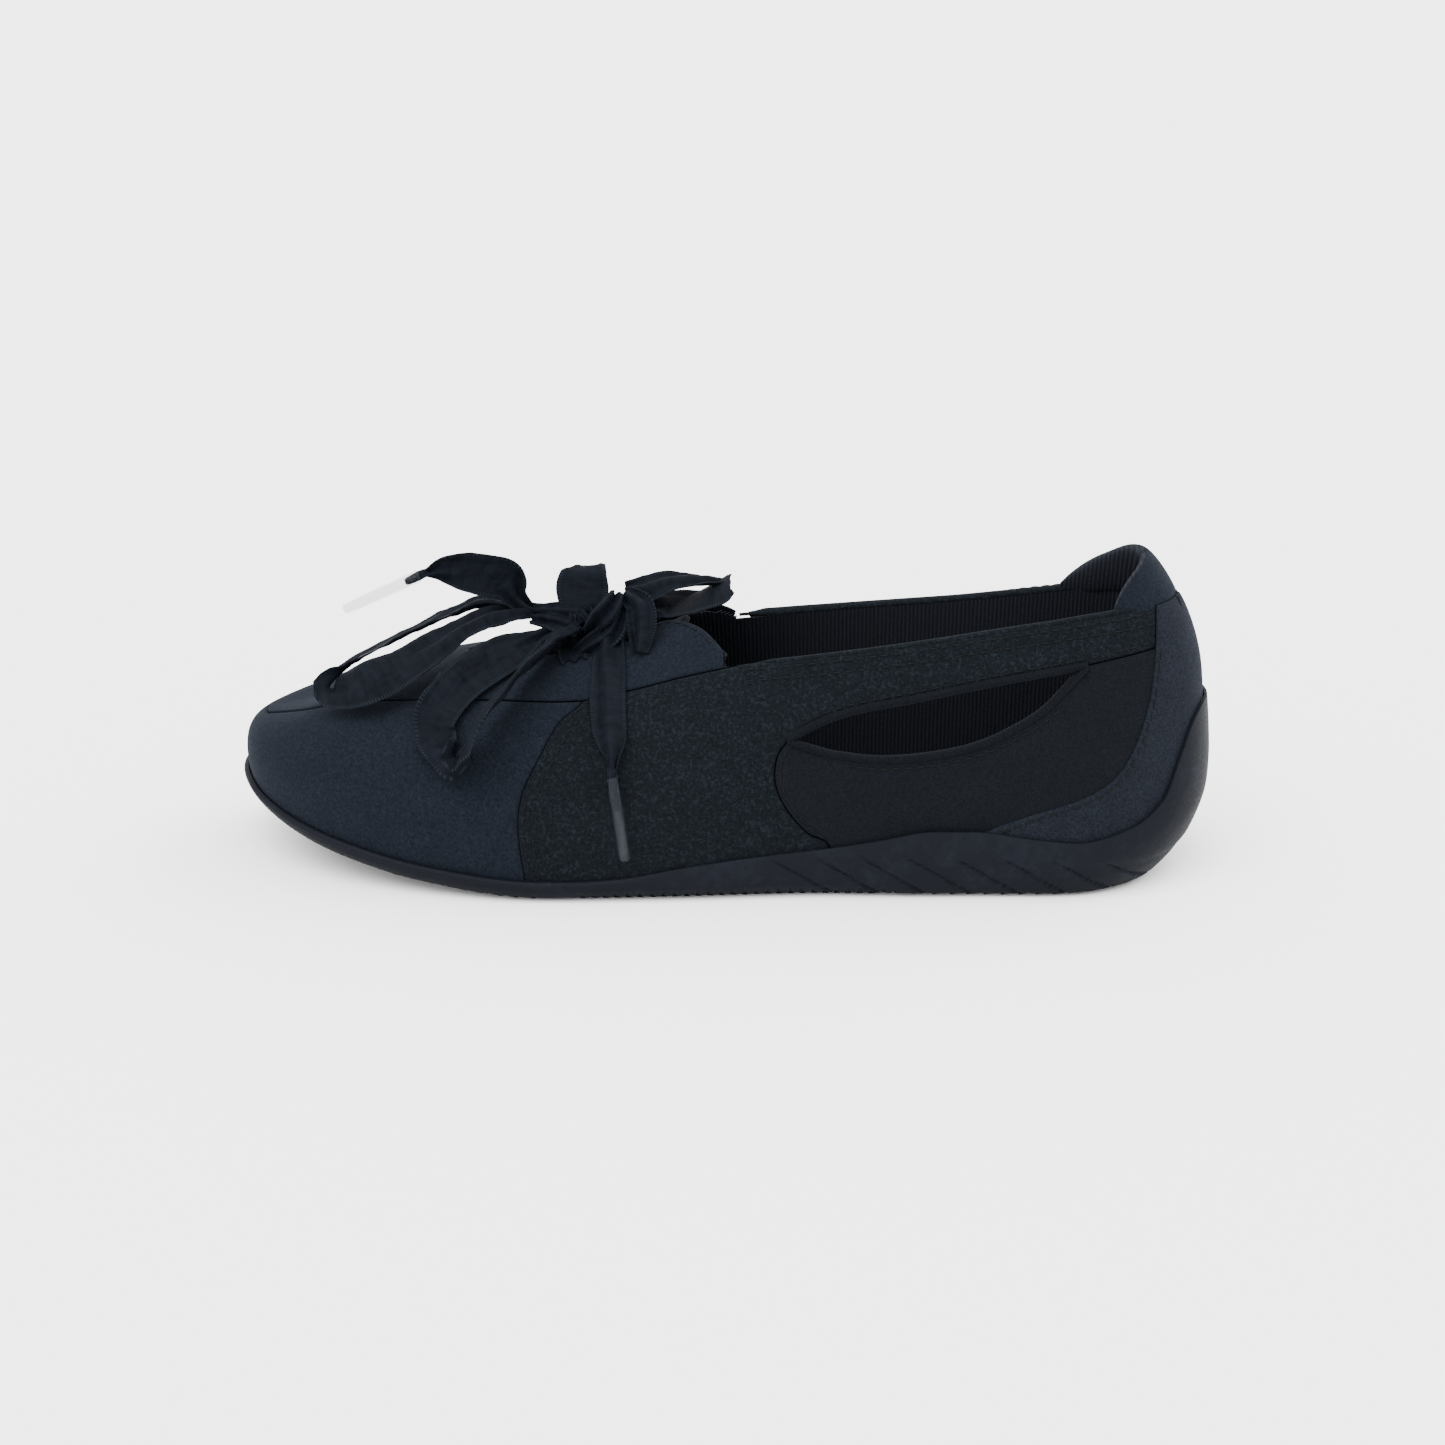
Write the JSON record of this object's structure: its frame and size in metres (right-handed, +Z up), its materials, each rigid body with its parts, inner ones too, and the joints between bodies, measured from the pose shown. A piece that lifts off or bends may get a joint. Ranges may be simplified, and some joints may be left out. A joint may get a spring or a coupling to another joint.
{
  "type": "ballet slipper",
  "caption": "Low lace-up ballerina slipper in dark suede with side cut-outs, padded heel tab, ribbon bow, clear ribbon tips and a one-piece rubber sole.",
  "frame": {"origin": "on the flat underside of the sole, half way along the outline and on its centre line", "axes": "+X from toe to heel along the length, -Y to the outer (lateral) side, +Z up from the floor"},
  "size_m": [0.2647, 0.095, 0.0838],
  "materials": {
    "suede_front": "soft nap, matt",
    "suede_quarter": "soft nap, matt",
    "suede_overlay": "soft nap, matt",
    "binding": "matt",
    "lining": "ribbed textile",
    "rubber": "matt moulded",
    "board": "fibre board",
    "footbed": "brushed textile",
    "stiffener": "sheet",
    "ribbon": "dull sheen, corded edges",
    "aglet": "clear"
  },
  "bodies": {
    "shoe": {"vamp": "suede_front", "apron": "suede_front", "heel_tab": "suede_front", "quarter_lateral": "suede_quarter", "quarter_medial": "suede_quarter", "side_panel_lateral": "suede_overlay", "side_panel_medial": "suede_overlay", "heel_overlay": "suede_overlay", "side_binding_lateral": "binding", "side_binding_medial": "binding", "vamp_lining": "lining", "quarter_lining": "lining", "outsole": "rubber", "insole_board": "board", "sockliner": "footbed", "toe_puff": "stiffener", "heel_counter": "stiffener", "bar_front": "ribbon", "bar_rear": "ribbon", "knot": "ribbon", "fold_up": "ribbon", "leaf": "ribbon"},
    "tongue": {"tongue": "lining"},
    "tail_front": {"tail_front": "ribbon", "aglet_front": "aglet"},
    "tail_near": {"tail_near": "ribbon", "aglet_near": "aglet"},
    "loop_front_far": {"loop_front_far": "ribbon"},
    "loop_front_near": {"loop_front_near": "ribbon"},
    "loop_rear": {"loop_rear": "ribbon"}
  },
  "joints": [
    {"name": "tongue_hinge", "type": "hinge", "parent": "shoe", "child": "tongue", "pos_m": [-0.0695, 0.0009, 0.0475], "axis": [0, 1, 0], "range_deg": [0, 8], "stiffness_Nm_per_rad": 0.08},
    {"name": "tail_front_lift", "type": "hinge", "parent": "shoe", "child": "tail_front", "pos_m": [-0.0417, -0.0015, 0.06715], "axis": [-0.1483, 0.9889, 0], "range_deg": [0, 30]},
    {"name": "tail_near_lift", "type": "hinge", "parent": "shoe", "child": "tail_near", "pos_m": [-0.0316, -0.0124, 0.06375], "axis": [-1, 0, 0], "range_deg": [0, 40]},
    {"name": "loop_front_far_lift", "type": "hinge", "parent": "shoe", "child": "loop_front_far", "pos_m": [-0.0417, -0.0007, 0.06305], "axis": [0, 1, 0], "range_deg": [0, 10]},
    {"name": "loop_front_near_lift", "type": "hinge", "parent": "shoe", "child": "loop_front_near", "pos_m": [-0.0413, -0.009, 0.06495], "axis": [-0.717, 0.6971, 0], "range_deg": [0, 30]},
    {"name": "loop_rear_lift", "type": "hinge", "parent": "shoe", "child": "loop_rear", "pos_m": [-0.0224, -0.003, 0.06615], "axis": [0.0995, -0.995, 0], "range_deg": [0, 30]}
  ]
}
